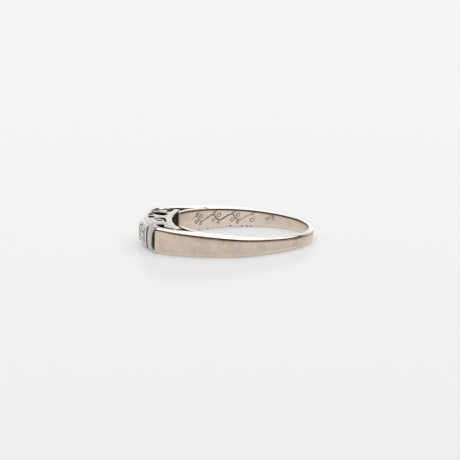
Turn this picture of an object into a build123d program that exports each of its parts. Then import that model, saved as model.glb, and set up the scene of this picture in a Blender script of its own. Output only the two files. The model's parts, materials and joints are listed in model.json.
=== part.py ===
from build123d import *

import os
from math import cos, hypot, radians, sin, tan

# Three-stone engagement ring: a white gold shank whose shoulders fork round a platinum head.
# Frame: the finger axis is Z, the head points to -X, the base of the shank to +X, and the
# origin is the centre of the finger hole at half width. Millimetres and degrees throughout.
# Angles of the head are counted from its centre line, positive towards +Y.

# --- shank ---
FINGER_R = 8.5  # finger hole
BASE_WALL = 0.65  # radial thickness of the shank at its base
BASE_HALF_SPAN = 60  # reach of that thickness to each side of the base
HALF_WIDTH = 1.176  # half width of the ring where X is 0
WIDTH_SLOPE = 0.0455  # gain in half width per millimetre towards the head
OUTER_EDGE_R = 0.25
INNER_EDGE_R = 0.12
SHOULDER_POINTS = ((2.0, 9.3), (0.0, 9.95), (-3.5, 9.65), (-6.2, 8.9), (-8.2, 8.0))
SHOULDER_HEADING = (-0.77, -0.64)
SHOULDER_ANGLE = 30  # where each shoulder ends at the head
SHOULDER_R = 12.3  # outer corner of that end
SHOULDER_WALL = 1.1  # radial thickness of that end
FORK_POINTS = ((-8.15, 6.8), (-6.5, 7.2))

# --- bearing leaves, the inner halves of the forks ---
LEAF_R = 9.15  # outer face
LEAF_END_ANGLE = 36  # free end
LEAF_ROOT_ANGLE = 63  # end that is soldered to the shank
FORK_ANGLE = 56  # where the shoulder lifts off the leaf
LEAF_INSET = 0.04  # how far its edges stay below the shank's

# --- finger rails ---
RAIL_ARC_R = 16.0  # finger side of a rail, a flatter arc than the finger hole
RAIL_WIDTH = 0.77
RAIL_TOP = 1.46
RAIL_DEPTH = 0.4
RAIL_HALF_SPAN = 5.9
RAIL_EDGE_R = 0.1

# --- head plate and end bars ---
PLATE_INNER_R = 11.3
PLATE_EDGE_R = 12.15  # outer face at the long edges
PLATE_CROWN_R = 12.35  # outer face along the middle
PLATE_EDGE_Z = 1.72
PLATE_ROUNDING = 0.3
PLATE_ANGLE = 20.3  # half span, where the end bars begin
GROOVE_ANGLES = (18.6, 20.3)
GROOVE_HALF_LENGTH = 1.35
GROOVE_DEPTH = 0.25
OPENING_WIDTH = 0.95  # lens-shaped opening beside each shoulder
OPENING_HALF_LENGTH = 1.47

# --- pierced galleries ---
GALLERY_BOTTOM = 1.02
GALLERY_LEVEL_X = -9.0  # where the outer face is level with the rails
GALLERY_RISE = 0.09  # rise of that face per millimetre towards the plate
GALLERY_END_X = -8.1  # each end stops short of the fork's corner

# --- settings and stones ---
SIDE_ANGLE = 10.25  # side stones, either side of the centre stone
COLLET_BOTTOM_R = 11.6
CENTRE_COLLET = 2.1  # length of the square's side
SIDE_COLLET = 1.8
CENTRE_TOP_R = 12.47  # face of the collet, measured from the finger axis
SIDE_TOP_R = 12.38
CENTRE_STONE_R = 0.93
SIDE_STONE_R = 0.78
STONE_SINK = 0.14  # depth of the girdle below the collet's face
GRAIN_R = 0.15
GRAIN_GAP = 0.19  # from the stone's rim to the middle of a corner grain
COLLET_EDGE = 0.06
CULET_HOLE = 0.5  # radius of the open culet hole over the stone's radius
TABLE_SHARE = 0.55  # the following are shares of the stone's radius
GIRDLE_SHARE = 0.05
CROWN_SLOPE = 33
UPPER_SLOPE = 40
STAR_SLOPE = 20
PAVILION_SLOPE = 41
LOWER_SLOPE = 44

REACH = 40  # longer than the ring, for cutting tools
TALL = 5  # more than the ring's half width


def polar(radius, angle):
    """The plan point at a radius and at an angle of the head."""
    return (-radius * cos(radians(angle)), radius * sin(radians(angle)))


def with_mirror(shape):
    """A plan shape together with its mirror image across the XZ plane."""
    return shape + mirror(shape, about=Plane.XZ)


def slab(half_at_zero, slope):
    """The space between two faces whose half height grows by slope towards -X."""
    outline = Polyline(
        (REACH, slope * REACH - half_at_zero),
        (REACH, half_at_zero - slope * REACH),
        (-REACH, half_at_zero + slope * REACH),
        (-REACH, -half_at_zero - slope * REACH),
        close=True,
    )
    return extrude(Plane.XZ * make_face(outline), REACH, both=True)


def column(face):
    """A plan face pulled up and down past the ring's sides."""
    return extrude(face, TALL, both=True)


def sector(inner_r, outer_r, start, end):
    """The plan face between two radii and two angles of the head."""
    rim = CenterArc((0, 0), outer_r, 180 - start, start - end)
    bore = CenterArc((0, 0), inner_r, 180 - start, start - end)
    return make_face(rim + bore + Line(rim @ 0, bore @ 0) + Line(rim @ 1, bore @ 1))


def long_edges(solid, beyond):
    """The shank's edges that run round the ring, beyond or within the wall's middle."""
    middle_r = FINGER_R + BASE_WALL / 2

    def wanted(edge):
        middle = edge @ 0.5
        return edge.length > FINGER_R and (hypot(middle.X, middle.Y) > middle_r) == beyond

    return solid.edges().filter_by(wanted)


def shank_plan():
    """The shank seen along the finger: both shoulders and the root of each fork."""
    base = CenterArc((0, 0), FINGER_R + BASE_WALL, -BASE_HALF_SPAN, 2 * BASE_HALF_SPAN)
    end_outer = polar(SHOULDER_R, SHOULDER_ANGLE)
    end_inner = polar(SHOULDER_R - SHOULDER_WALL, SHOULDER_ANGLE)
    shoulder = Spline(base @ 1, *SHOULDER_POINTS, end_outer, tangents=[base % 1, SHOULDER_HEADING])
    end_face = Line(end_outer, end_inner)
    inner = Spline(end_inner, *FORK_POINTS, polar(LEAF_R, FORK_ANGLE))
    on_leaf = CenterArc((0, 0), LEAF_R, 180 - FORK_ANGLE, FORK_ANGLE - LEAF_ROOT_ANGLE)
    step = Line(polar(LEAF_R, LEAF_ROOT_ANGLE), polar(FINGER_R, LEAF_ROOT_ANGLE))
    finger = CenterArc((0, 0), FINGER_R, LEAF_ROOT_ANGLE - 180, 360 - 2 * LEAF_ROOT_ANGLE)
    return make_face(base + finger + with_mirror(shoulder + end_face + inner + on_leaf + step))


def make_shank():
    """Gold shank: a plain band that thickens into two shoulders forked from the leaves."""
    blank = column(shank_plan()) & slab(HALF_WIDTH, WIDTH_SLOPE)
    blank = fillet(long_edges(blank, True), OUTER_EDGE_R)
    return fillet(long_edges(blank, False), INNER_EDGE_R)


def make_leaf():
    """The +Y bearing leaf, which carries the finger hole on under the shoulder."""
    blank = column(sector(FINGER_R, LEAF_R, LEAF_END_ANGLE, LEAF_ROOT_ANGLE))
    return blank & slab(HALF_WIDTH - LEAF_INSET, WIDTH_SLOPE)


def rail_disc(radius):
    """The plan disc whose rim is one of a rail's arcs."""
    return Pos(RAIL_ARC_R - FINGER_R, 0) * Circle(radius)


def make_rail():
    """The upper finger rail, a flat bow whose widened ends stand against the leaves."""
    head_side = Pos(-FINGER_R, 0) * Rectangle(FINGER_R, 2 * RAIL_HALF_SPAN)
    bow = rail_disc(RAIL_ARC_R + RAIL_WIDTH) - rail_disc(RAIL_ARC_R)
    feet = with_mirror(sector(LEAF_R, PLATE_INNER_R, LEAF_END_ANGLE, LEAF_ROOT_ANGLE))
    plan = (bow + (feet & rail_disc(RAIL_ARC_R))) & head_side
    rail = Pos(0, 0, RAIL_TOP - RAIL_DEPTH) * extrude(plan, RAIL_DEPTH)
    bows = rail.faces().sort_by(Axis.Z)[-1].edges().sort_by(SortBy.LENGTH)[-2:]
    return fillet(bows, RAIL_EDGE_R)


def lens(centre, half_length, half_width, angle):
    """A pointed lens in the plan, its length turned by an angle from X."""
    tips = (-half_length, 0), (half_length, 0)
    over = ThreePointArc(tips[0], (0, half_width), tips[1])
    under = ThreePointArc(tips[0], (0, -half_width), tips[1])
    return Pos(*centre) * Rot(0, 0, angle) * make_face(over + under)


def blob(*points):
    """A rounded closed plan shape through a few points."""
    return make_face(Spline(*points, periodic=True))


def gallery_openings():
    """The pierced scrollwork of a gallery, from the +Y end to the -Y end."""
    return [
        blob((-10.0, 6.5), (-9.5, 6.75), (-9.1, 6.2), (-9.5, 6.0)),
        blob((-8.95, 5.2), (-8.6, 5.7), (-8.45, 6.3), (-8.7, 6.5), (-9.05, 5.6)),
        lens((-10.55, 4.55), 0.6, 0.16, 8),
        blob((-10.95, 3.25), (-10.2, 3.65), (-9.5, 3.45), (-9.4, 2.2), (-10.2, 2.2)),
        lens((-11.05, 1.9), 0.3, 0.2, -60),
        blob((-11.15, 0.8), (-10.7, 0.75), (-10.85, 0.1), (-11.1, -0.2)),
        blob((-10.55, -0.55), (-10.0, 0.05), (-9.5, 0.2), (-9.35, -1.1), (-9.6, -0.55), (-10.1, -0.5)),
        lens((-10.05, -1.55), 0.38, 0.22, 0),
        blob((-10.3, -4.5), (-9.8, -3.75), (-9.4, -3.95), (-9.5, -5.2), (-8.9, -5.6), (-9.5, -6.0)),
    ]


def make_gallery(shank):
    """The upper gallery, a pierced web between rail, plate and shoulders."""
    web = Circle(PLATE_INNER_R) - rail_disc(RAIL_ARC_R + RAIL_WIDTH)
    web &= Pos(GALLERY_END_X - FINGER_R, 0) * Rectangle(2 * FINGER_R, 2 * FINGER_R)
    blank = Pos(0, 0, GALLERY_BOTTOM) * extrude(web, TALL) - shank
    blank &= slab(RAIL_TOP + GALLERY_RISE * GALLERY_LEVEL_X, GALLERY_RISE)
    blank = blank.solids().sort_by(SortBy.VOLUME)[-1]
    for opening in gallery_openings():
        blank -= column(opening)
    return blank


def plate_band(start, end):
    """A stretch of the domed band that forms the head's face, between two angles."""
    inner = Line((PLATE_INNER_R, -PLATE_EDGE_Z), (PLATE_INNER_R, PLATE_EDGE_Z))
    crown = ThreePointArc(
        (PLATE_EDGE_R, -PLATE_EDGE_Z), (PLATE_CROWN_R, 0), (PLATE_EDGE_R, PLATE_EDGE_Z)
    )
    rims = Line(inner @ 0, crown @ 0) + Line(inner @ 1, crown @ 1)
    section = make_face(inner + crown + rims)
    section = fillet(section.vertices().group_by(Axis.X)[-1], PLATE_ROUNDING)
    band = revolve(Rot(0, 0, 180 - end) * (Plane.XZ * section), Axis.Z, end - start)
    return band & slab(HALF_WIDTH, WIDTH_SLOPE)


def setting_plane(top_r, angle):
    """The plane of a setting: its Z points out of the head and its X along the finger."""
    return Plane(polar(top_r, angle), x_dir=(0, 0, 1), z_dir=polar(1, angle))


def setting_block(side, top_r, angle, bottom_r):
    """A square block let into the plate, from one radius out to another."""
    block = Pos(0, 0, (bottom_r - top_r) / 2) * Box(side, side, top_r - bottom_r)
    return setting_plane(top_r, angle) * block


def make_plate():
    """Platinum face of the head with three square openings and a groove at each end."""
    plate = plate_band(-PLATE_ANGLE, PLATE_ANGLE)
    for side, angle in settings_in_plate():
        plate -= setting_block(side, PLATE_CROWN_R + 1, angle, PLATE_INNER_R - 1)
    groove = sector(PLATE_CROWN_R - GROOVE_DEPTH, PLATE_CROWN_R + 1, *GROOVE_ANGLES)
    grooves = extrude(with_mirror(groove), GROOVE_HALF_LENGTH, both=True)
    return plate - grooves


def settings_in_plate():
    """The square side and the angle of each setting."""
    return ((CENTRE_COLLET, 0), (SIDE_COLLET, -SIDE_ANGLE), (SIDE_COLLET, SIDE_ANGLE))


def make_end_bar():
    """The +Y end bar, hollowed on its outer side by the lens-shaped opening."""
    bar = plate_band(PLATE_ANGLE, SHOULDER_ANGLE)
    radius = (OPENING_HALF_LENGTH**2 + OPENING_WIDTH**2) / (2 * OPENING_WIDTH)
    plane = setting_plane(PLATE_CROWN_R, SHOULDER_ANGLE)
    cutter = Pos(0, radius - OPENING_WIDTH) * Cylinder(radius, TALL)
    return bar - plane * cutter


def make_collet(side, top_r, stone_r):
    """A square collet with a tapered seat, a culet hole and four corner grains."""
    depth = top_r - COLLET_BOTTOM_R
    block = Pos(0, 0, -depth / 2) * Box(side, side, depth)
    block = chamfer(block.faces().sort_by(Axis.Z)[-1].edges(), COLLET_EDGE)
    rim_depth = STONE_SINK + GIRDLE_SHARE * stone_r
    seat_depth = depth - rim_depth
    seat = Cone(CULET_HOLE * stone_r, stone_r, seat_depth)
    block -= Pos(0, 0, -rim_depth - seat_depth / 2) * seat
    block -= Pos(0, 0, -rim_depth / 2) * Cylinder(stone_r, rim_depth)
    corner = (stone_r + GRAIN_GAP) * cos(radians(45))
    for x, y in ((1, 1), (1, -1), (-1, 1), (-1, -1)):
        block += Pos(corner * x, corner * y, 0) * Sphere(GRAIN_R)
    return block


def cut_facets(stone, count, phase, slope, radius, height):
    """Cuts a ring of facets; each passes a point at the radius and height given."""
    for index in range(count):
        turn = phase + index * 360 / count
        run = (cos(radians(turn)), sin(radians(turn)))
        lean = sin(radians(abs(slope)))
        rise = cos(radians(slope)) * (1 if slope > 0 else -1)
        face = Plane((radius * run[0], radius * run[1], height), z_dir=(lean * run[0], lean * run[1], rise))
        stone = split(stone, bisect_by=face, keep=Keep.BOTTOM)
    return stone


def make_diamond(radius):
    """An old brilliant cut with its girdle's upper edge at Z = 0 and its table towards +Z."""
    crown = (1 - TABLE_SHARE) * radius * tan(radians(CROWN_SLOPE))
    girdle = GIRDLE_SHARE * radius
    stone = Pos(0, 0, (crown - radius - girdle) / 2) * Cylinder(radius, crown + radius + girdle)
    stone = cut_facets(stone, 8, 0, CROWN_SLOPE, radius, 0)
    stone = cut_facets(stone, 16, 11.25, UPPER_SLOPE, radius, 0)
    stone = cut_facets(stone, 8, 22.5, STAR_SLOPE, TABLE_SHARE * radius, crown)
    stone = cut_facets(stone, 8, 0, -PAVILION_SLOPE, radius, -girdle)
    return cut_facets(stone, 16, 11.25, -LOWER_SLOPE, radius, -girdle)


def place(local, top_r, angle):
    """Moves a setting's piece from its own plane onto the head."""
    return setting_plane(top_r, angle) * local


def across(shape):
    """The mirror image of a piece on the other side of the ring, across XZ."""
    return mirror(shape, about=Plane.XZ)


def below(shape):
    """The mirror image of a piece on the other side of the middle plane, across XY."""
    return mirror(shape, about=Plane.XY)


def build():
    """All pieces of the ring by name."""
    shank = make_shank()
    leaf = make_leaf()
    rail = make_rail()
    gallery = make_gallery(shank)
    bar = make_end_bar()
    centre_collet = make_collet(CENTRE_COLLET, CENTRE_TOP_R, CENTRE_STONE_R)
    side_collet = make_collet(SIDE_COLLET, SIDE_TOP_R, SIDE_STONE_R)
    centre_stone = Pos(0, 0, -STONE_SINK) * make_diamond(CENTRE_STONE_R)
    side_stone = Pos(0, 0, -STONE_SINK) * make_diamond(SIDE_STONE_R)
    return {
        "shank": shank,
        "bearing_leaf_left": leaf,
        "bearing_leaf_right": across(leaf),
        "finger_rail_upper": rail,
        "finger_rail_lower": below(rail),
        "gallery_upper": gallery,
        "gallery_lower": below(gallery),
        "head_plate": make_plate(),
        "end_bar_left": bar,
        "end_bar_right": across(bar),
        "collet_centre": place(centre_collet, CENTRE_TOP_R, 0),
        "collet_left": place(side_collet, SIDE_TOP_R, SIDE_ANGLE),
        "collet_right": place(side_collet, SIDE_TOP_R, -SIDE_ANGLE),
        "diamond_centre": place(centre_stone, CENTRE_TOP_R, 0),
        "diamond_left": place(side_stone, SIDE_TOP_R, SIDE_ANGLE),
        "diamond_right": place(side_stone, SIDE_TOP_R, -SIDE_ANGLE),
    }


if __name__ == "__main__":
    os.makedirs("parts", exist_ok=True)
    for node, solid in build().items():
        export_step(solid, f"parts/{node}.step")
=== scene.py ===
"""Three-stone engagement ring: visual pieces, finishes, stage and camera.

The ring lies on its side. The finger axis is Z, the head points to -X and the base of the
shank to +X. Sizes are in millimetres until a mesh is finished, and in metres from then on.
"""
import json
import logging
import math
from collections.abc import Callable, Sequence
from dataclasses import dataclass, field
from enum import Enum

import bmesh
import bpy
from mathutils import Matrix, Vector, noise


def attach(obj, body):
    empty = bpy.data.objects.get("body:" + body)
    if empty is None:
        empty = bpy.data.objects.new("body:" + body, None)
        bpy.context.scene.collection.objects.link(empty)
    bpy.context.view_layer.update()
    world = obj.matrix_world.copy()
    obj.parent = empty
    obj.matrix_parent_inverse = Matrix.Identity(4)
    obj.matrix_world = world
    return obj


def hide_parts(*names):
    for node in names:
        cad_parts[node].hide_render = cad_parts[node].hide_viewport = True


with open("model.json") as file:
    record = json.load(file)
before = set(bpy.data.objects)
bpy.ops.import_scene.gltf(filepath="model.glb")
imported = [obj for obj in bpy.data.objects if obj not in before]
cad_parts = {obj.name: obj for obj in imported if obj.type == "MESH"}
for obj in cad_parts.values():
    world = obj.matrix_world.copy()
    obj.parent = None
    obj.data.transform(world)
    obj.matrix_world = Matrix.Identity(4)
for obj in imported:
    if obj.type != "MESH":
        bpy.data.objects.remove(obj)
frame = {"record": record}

LOG = logging.getLogger("ring")
MM = 0.001
BODY = "root"
CRISP_ANGLE = math.radians(35.0)
WELD = 1e-4
Point = tuple[float, float]
Colour = tuple[float, float, float]
Path = Callable[[float], Point]
Walk = Callable[[float], Vector]
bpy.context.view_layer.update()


# ---------------------------------------------------------------- shader tools


class Shade:
    """A shader value whose operators add Math nodes to its tree."""

    def __init__(self, tree: "FinishTree", socket: bpy.types.NodeSocket) -> None:
        """Wraps a socket.

        Args:
            tree: The tree that the socket belongs to.
            socket: The output socket that carries the value.
        """
        self.tree = tree
        self.socket = socket

    def _math(self, operation: str, *values: "Shade | float", clamp: bool = False) -> "Shade":
        """Adds one Math node.

        Args:
            operation: The node's operation.
            values: Its inputs, in order.
            clamp: Whether the result is held between 0 and 1.

        Returns:
            The node's result.
        """
        settings = {"operation": operation, "use_clamp": clamp}
        made = self.tree.node("ShaderNodeMath", settings, dict(enumerate(values)))
        return Shade(self.tree, made.outputs[0])

    def __add__(self, other: "Shade | float") -> "Shade":
        """This value plus another."""
        return self._math("ADD", self, other)

    __radd__ = __add__

    def __mul__(self, other: "Shade | float") -> "Shade":
        """This value times another."""
        return self._math("MULTIPLY", self, other)

    __rmul__ = __mul__

    def __sub__(self, other: "Shade | float") -> "Shade":
        """This value minus another."""
        return self._math("SUBTRACT", self, other)

    def __rsub__(self, other: "Shade | float") -> "Shade":
        """Another value minus this one."""
        return self._math("SUBTRACT", other, self)

    def __truediv__(self, other: "Shade | float") -> "Shade":
        """This value over another."""
        return self._math("DIVIDE", self, other)

    def size(self) -> "Shade":
        """The value without its sign."""
        return self._math("ABSOLUTE", self)

    def clamped(self) -> "Shade":
        """The value held between 0 and 1."""
        return self._math("ADD", self, 0.0, clamp=True)

    def greater(self, other: "Shade | float") -> "Shade":
        """The larger of this value and another."""
        return self._math("MAXIMUM", self, other)

    def angle_from(self, across: "Shade") -> "Shade":
        """The angle whose tangent is this value over another, in radians."""
        return self._math("ARCTAN2", self, across)

    def step(self, low: float, high: float) -> "Shade":
        """A smooth step of this value.

        Args:
            low: Where the step is 0.
            high: Where the step is 1; it may be below low.

        Returns:
            A mask from 0 to 1.
        """
        share = ((self - low) / (high - low)).clamped()
        return share * share * (3.0 - 2.0 * share)


class FinishTree:
    """The node tree of a material or a world, with one way to add nodes."""

    def __init__(self, owner: bpy.types.Material | bpy.types.World) -> None:
        """Empties the owner's tree.

        Args:
            owner: The material or world that is given its nodes.
        """
        owner.use_nodes = True
        self.owner = owner
        self.nodes = owner.node_tree.nodes
        self.links = owner.node_tree.links
        self.nodes.clear()

    @classmethod
    def named(cls, name: str) -> "FinishTree":
        """Starts an empty material."""
        return cls(bpy.data.materials.new(name))

    def node(self, kind: str, settings: dict | None = None, feeds: dict | None = None) -> bpy.types.Node:
        """Adds a node.

        Args:
            kind: The node's type.
            settings: Its properties, such as a Math node's operation.
            feeds: Values or links of its input sockets, by name or index.

        Returns:
            The new node.
        """
        made = self.nodes.new(kind)
        for key, value in (settings or {}).items():
            setattr(made, key, value)
        for key, value in (feeds or {}).items():
            self.feed(made.inputs[key], value)
        return made

    def feed(self, socket: bpy.types.NodeSocket, value: object) -> None:
        """Links or sets an input socket.

        Args:
            socket: The input socket.
            value: A Shade, an output socket, or a plain value.
        """
        if isinstance(value, Shade):
            self.links.new(value.socket, socket)
        elif isinstance(value, bpy.types.NodeSocket):
            self.links.new(value, socket)
        else:
            socket.default_value = value

    def place(self) -> object:
        """The object's own coordinates in millimetres."""
        source = self.node("ShaderNodeTexCoord").outputs["Object"]
        feeds = {"Vector": source, "Scale": [1 / MM] * 3}
        return self.node("ShaderNodeMapping", {"vector_type": "POINT"}, feeds).outputs[0]

    def axes(self, vector: object) -> tuple[Shade, Shade, Shade]:
        """The three parts of a vector."""
        parts = self.node("ShaderNodeSeparateXYZ", feeds={"Vector": vector}).outputs
        return Shade(self, parts[0]), Shade(self, parts[1]), Shade(self, parts[2])

    def vector(self, x: object, y: object, z: object) -> object:
        """A vector of three values."""
        return self.node("ShaderNodeCombineXYZ", feeds={0: x, 1: y, 2: z}).outputs[0]

    def speckle(self, vector: object, scale: float, detail: float = 2.0, rough: float = 0.5) -> Shade:
        """Cloudy noise.

        Args:
            vector: Where it is read.
            scale: Its frequency.
            detail: Its octaves.
            rough: The strength of the finer octaves.

        Returns:
            Values around one half.
        """
        feeds = {"Vector": vector, "Scale": scale, "Detail": detail, "Roughness": rough}
        return Shade(self, self.node("ShaderNodeTexNoise", feeds=feeds).outputs[0])

    def cells(self, vector: object, scale: float) -> Shade:
        """The distance to the nearest of scattered points."""
        feeds = {"Vector": vector, "Scale": scale}
        return Shade(self, self.node("ShaderNodeTexVoronoi", feeds=feeds).outputs["Distance"])

    def blend(self, share: object, first: object, second: object) -> object:
        """A colour between two others.

        Args:
            share: How much of the second colour.
            first: The first colour.
            second: The second colour.

        Returns:
            The colour socket.
        """
        feeds = {0: share, 6: first, 7: second}
        return self.node("ShaderNodeMix", {"data_type": "RGBA"}, feeds).outputs[2]

    def bump(self, height: object, strength: float, distance: float, under: object = None) -> object:
        """A normal bent by a height.

        Args:
            height: The height, from 0 to 1.
            strength: The share of the effect.
            distance: The depth in millimetres.
            under: A normal to start from.

        Returns:
            The normal socket.
        """
        feeds = {"Height": height, "Strength": strength, "Distance": distance * MM}
        if under is not None:
            feeds["Normal"] = under
        return self.node("ShaderNodeBump", feeds=feeds).outputs[0]

    def surface(self, feeds: dict) -> bpy.types.Material:
        """Closes the tree with a principled surface.

        Args:
            feeds: The surface's sockets.

        Returns:
            The finished material.
        """
        shader = self.node("ShaderNodeBsdfPrincipled", feeds=feeds)
        self.node("ShaderNodeOutputMaterial", feeds={"Surface": shader.outputs[0]})
        return self.owner


def rgba(colour: Sequence[float]) -> tuple[float, float, float, float]:
    """A colour with full alpha."""
    return (*colour, 1.0)


# --------------------------------------------------------------- the ring form


@dataclass(frozen=True)
class RingForm:
    """The sizes that all parts of the ring share."""

    finger_r: float = frame["record"]["mounts"][0]["dims"]["r_mm"]
    half_width: float = 1.176
    width_slope: float = 0.0455
    head_angle: float = 30.0
    middle_r: float = 9.5
    side_angle: float = 10.25
    centre_half: float = 1.05
    side_half: float = 0.9

    def side(self, x: float) -> float:
        """The ring's half width where X is x."""
        return self.half_width - self.width_slope * x


FORM = RingForm()


# -------------------------------------------------------------------- finishes

# Painted shade in a line below the upper rim, painted light above the lower rim, and a painted highlight on
# the rims themselves.
SHADE_LINE_BROWN = (0.16, 0.105, 0.075)
PAINTED_FOOT_LIGHT = (0.97, 0.88, 0.79)
RIM_HIGHLIGHT = (0.84, 0.805, 0.765)


@dataclass(frozen=True)
class WornMetal:
    """Polished precious metal after years of wear: haze, hairlines and small pits, and, given a rim colour,
    painted light and shade along the rims.
    """

    name: str
    light: Colour
    dark: Colour
    roughness: float = 0.14
    haze: float = 0.10
    metallic: float = 1.0
    hairline_depth: float = 0.004
    pit_depth: float = 0.012
    swell_depth: float = 0.012
    tinge: Colour | None = None
    tinge_share: float = 0.6
    rim: Colour | None = None
    shade_line_depth: float = 0.34
    shade_line_width: float = 0.22
    shade_line_share: float = 0.4
    shoulder_fade: Point = (-10.3, -8.4)
    foot_reach: Point = (0.6, 0.1)
    foot_share: float = 0.8
    side_fade: float = 0.1

    def build(self) -> bpy.types.Material:
        """Makes the material."""
        tree = FinishTree.named(self.name)
        here = tree.place()
        x, y, z = tree.axes(here)
        arc = y.angle_from(x) * FORM.middle_r
        cloud = tree.speckle(here, 0.55, 3.0)
        patch = cloud.step(0.42, 0.66)
        lines = self._hairlines(tree, arc, z)
        pits = tree.cells(here, 2.3).step(0.10, 0.04) * tree.speckle(here, 1.7).step(0.5, 0.62)
        mottle = tree.speckle(here, 3.2, 4.0, 0.65).step(0.40, 0.68)
        streak = tree.speckle(tree.vector(arc * 4.0, z * 0.35, 3.0), 1.0, 3.0).step(0.45, 0.7)
        worn = (patch * 0.5 + mottle * 0.35 + streak * 0.25).clamped()
        colour = tree.blend(worn, rgba(self.light), rgba(self.dark))
        if self.tinge:
            colour = tree.blend(self._under_rim(x, y, z) * self.tinge_share, colour, rgba(self.tinge))
        colour = tree.blend(pits * 0.6, colour, rgba(tuple(part * 0.35 for part in self.dark)))
        if self.rim:
            colour = self._edge(tree, colour, x, z, cloud)
        grain = tree.speckle(here, 14.0, 3.0)
        rough = self.roughness + (cloud - 0.5) * self.haze + (grain - 0.5) * 0.08 + lines * 0.10
        height = tree.bump(1.0 - lines, 0.6, self.hairline_depth)
        height = tree.bump(1.0 - pits, 0.8, self.pit_depth, height)
        height = tree.bump(tree.speckle(here, 1.3, 2.0), 0.5, self.swell_depth, height)
        feeds = {"Base Color": colour, "Metallic": self.metallic, "Roughness": rough.clamped()}
        return tree.surface({**feeds, "Normal": height})

    def _edge(self, tree: FinishTree, colour: object, x: Shade, z: Shade, cloud: Shade) -> object:
        """Paints a highlight on the rims, a line of painted shade below the upper one and painted light above
        the lower one.

        Args:
            tree: The material's tree.
            colour: The metal's colour.
            x: The place along the ring.
            z: The height across the ring.
            cloud: A cloudy pattern that varies the line.

        Returns:
            The new colour.
        """
        from_rim = FORM.half_width - x * FORM.width_slope - z.size()
        upper, lower = z.step(-self.side_fade, self.side_fade), z.step(self.side_fade, -self.side_fade)
        line = (from_rim - self.shade_line_depth).size().step(self.shade_line_width, self.shade_line_width * 0.25)
        uneven = (self.shade_line_share + cloud * 0.6).clamped()
        # Painted shade: a brown line below the upper rim, fading towards the shoulder's end.
        colour = tree.blend(line * uneven * upper * x.step(*self.shoulder_fade), colour, rgba(SHADE_LINE_BROWN))
        # Painted light: the metal above the lower rim is made pale where the shade near the board darkens it.
        foot_light = from_rim.step(*self.foot_reach) * lower * self.foot_share
        colour = tree.blend(foot_light, colour, rgba(PAINTED_FOOT_LIGHT))
        # Painted highlight: the rims are turned white as if they caught the overhead light.
        rim_highlight = from_rim.step(self.shade_line_depth * 0.45, self.shade_line_depth * 0.2)
        return tree.blend(rim_highlight, colour, rgba(self.rim))

    @staticmethod
    def _hairlines(tree: FinishTree, arc: Shade, z: Shade) -> Shade:
        """Fine scratches in three leanings round the ring.

        Args:
            tree: The material's tree.
            arc: The distance round the ring.
            z: The height across the ring.

        Returns:
            A mask of the scratches.
        """
        total: Shade | None = None
        for lean, spread, shift in ((0.35, 0.5, 0.0), (-0.6, 0.7, 7.0), (2.2, 0.9, 13.0)):
            along = arc * spread + z * lean + shift
            across = z * 9.0 - arc * (lean * 5.0)
            one = tree.speckle(tree.vector(along, across, shift), 1.6, 2.0, 0.6).step(0.64, 0.74)
            total = one if total is None else total.greater(one)
        return total

    @staticmethod
    def _under_rim(x: Shade, y: Shade, z: Shade) -> Shade:
        """A mask of the strip below the rim, on the sides of the shank, that takes the brown tinge."""
        strip = z.step(0.2, 0.95)
        middle = x.step(-7.5, -4.5) * x.step(1.0, -2.5)
        return strip * middle * y.step(-7.5, -8.6)


@dataclass(frozen=True)
class Recess:
    """Metal inside the head and the shoulders, its dark colour painted shade."""

    name: str
    colour: Colour
    lit: Colour
    metallic: float = 0.3

    def build(self) -> bpy.types.Material:
        """Makes the material."""
        tree = FinishTree.named(self.name)
        here = tree.place()
        cloud = tree.speckle(here, 2.4, 4.0)
        colour = tree.blend(cloud.step(0.45, 0.75), rgba(self.colour), rgba(self.lit))
        height = tree.bump(tree.speckle(here, 8.0, 3.0), 0.5, 0.02)
        rough = 0.45 + cloud * 0.3
        feeds = {"Base Color": colour, "Metallic": self.metallic, "Roughness": rough, "Normal": height}
        return tree.surface({**feeds, "Specular IOR Level": 0.2})


@dataclass(frozen=True)
class Stone:
    """Clear diamond."""

    name: str = "diamond_clear"
    clean: Colour = (1.0, 1.0, 1.0)
    dusty: Colour = (0.90, 0.92, 0.95)
    index: float = 2.417
    sparkle: float = 0.35

    def build(self) -> bpy.types.Material:
        """Makes the material."""
        tree = FinishTree.named(self.name)
        here = tree.place()
        dust = tree.speckle(here, 3.0, 3.0)
        colour = tree.blend(dust.step(0.5, 0.8) * 0.2, rgba(self.clean), rgba(self.dusty))
        rough = dust.step(0.5, 0.9) * 0.03
        feeds = {"Base Color": colour, "Roughness": rough, "Metallic": self.sparkle}
        return tree.surface({**feeds, "IOR": self.index, "Transmission Weight": 1.0})


@dataclass(frozen=True)
class EngravedLine:
    """A cut line: painted shade at its bottom and a painted highlight on its two lips."""

    name: str = "engraved_line"
    bottom: Colour = (0.05, 0.035, 0.025)
    lip_highlight: Colour = (0.80, 0.74, 0.67)

    def build(self) -> bpy.types.Material:
        """Makes the material."""
        tree = FinishTree.named(self.name)
        across = Shade(tree, tree.node("ShaderNodeUVMap").outputs[0])
        u, _, _ = tree.axes(across)
        off_middle = (u - 0.5).size() * 2.0
        # Painted shade at the middle of the cut, painted highlight towards its lips.
        wall = off_middle.step(0.45, 0.95)
        colour = tree.blend(wall, rgba(self.bottom), rgba(self.lip_highlight))
        normal = tree.bump(off_middle, 1.0, 0.05)
        return tree.surface({"Base Color": colour, "Metallic": 1.0, "Roughness": 0.32, "Normal": normal})


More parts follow.
